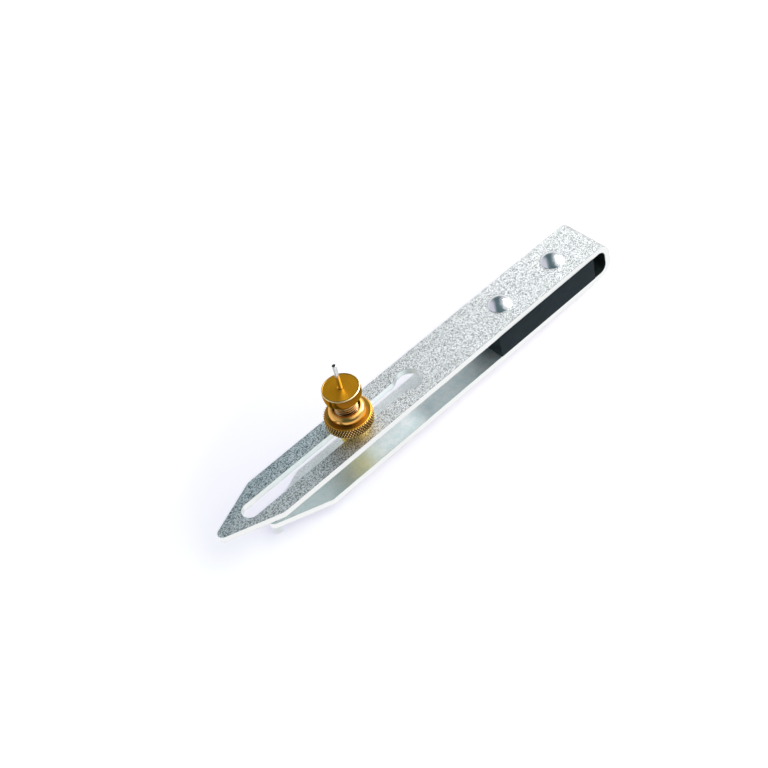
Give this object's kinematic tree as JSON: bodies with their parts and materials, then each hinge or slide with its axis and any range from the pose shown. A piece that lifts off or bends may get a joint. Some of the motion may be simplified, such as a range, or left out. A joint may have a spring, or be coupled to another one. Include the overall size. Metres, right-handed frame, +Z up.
{
  "type": "recess scriber",
  "caption": "Hairpin of plated steel strip with a slotted upper arm, a sliding brass clamp that holds a scribing needle, and a guide pin under the lower tip, for marking sheet flooring.",
  "frame": {"origin": "under the middle of the length and width, level with the foot of the guide pin, which is the lowest point", "axes": "+X from the tips to the bend, +Y to the left seen from the bend, +Z up through the upper arm towards the needle's top"},
  "size_m": [0.176, 0.0196, 0.0482],
  "materials": {
    "plated_steel": "zinc plating with a fine speckled grain, bright cut edges",
    "black_block": "dull black with fine saw marks",
    "rivet_steel": "bright plated",
    "turned_brass": "turned, lightly tarnished at the edges",
    "needle_steel": "bright hardened steel"
  },
  "bodies": {
    "frame": {"frame_strip": "plated_steel", "spacer_block": "black_block", "rivet_front": "rivet_steel", "rivet_rear": "rivet_steel", "guide_pin": "rivet_steel"},
    "carriage": {"clamp_washer": "turned_brass"},
    "nut": {"knurled_nut": "turned_brass"},
    "screw": {"clamp_screw": "turned_brass", "foot_ring": "turned_brass"},
    "needle": {"scribing_needle": "needle_steel"}
  },
  "joints": [
    {"name": "carriage_slide", "type": "slide", "parent": "frame", "child": "carriage", "axis": [1, 0, 0], "range_m": [-0.0445, 0.0275]},
    {"name": "nut_turn", "type": "hinge", "parent": "carriage", "child": "nut", "pos_m": [-0.029, 0, 0.0238], "axis": [0, 0, 1], "range_deg": [0, 1080]},
    {"name": "screw_drop", "type": "slide", "parent": "carriage", "child": "screw", "axis": [0, 0, -1], "range_m": [0, 0.00302]},
    {"name": "needle_slide", "type": "slide", "parent": "screw", "child": "needle", "axis": [0, 0, 1], "range_m": [-0.0018, 0.006]}
  ],
  "couplings": [
    {"joint": "screw_drop", "follows": "nut_turn", "m_per_rad": 0.00015915}
  ]
}
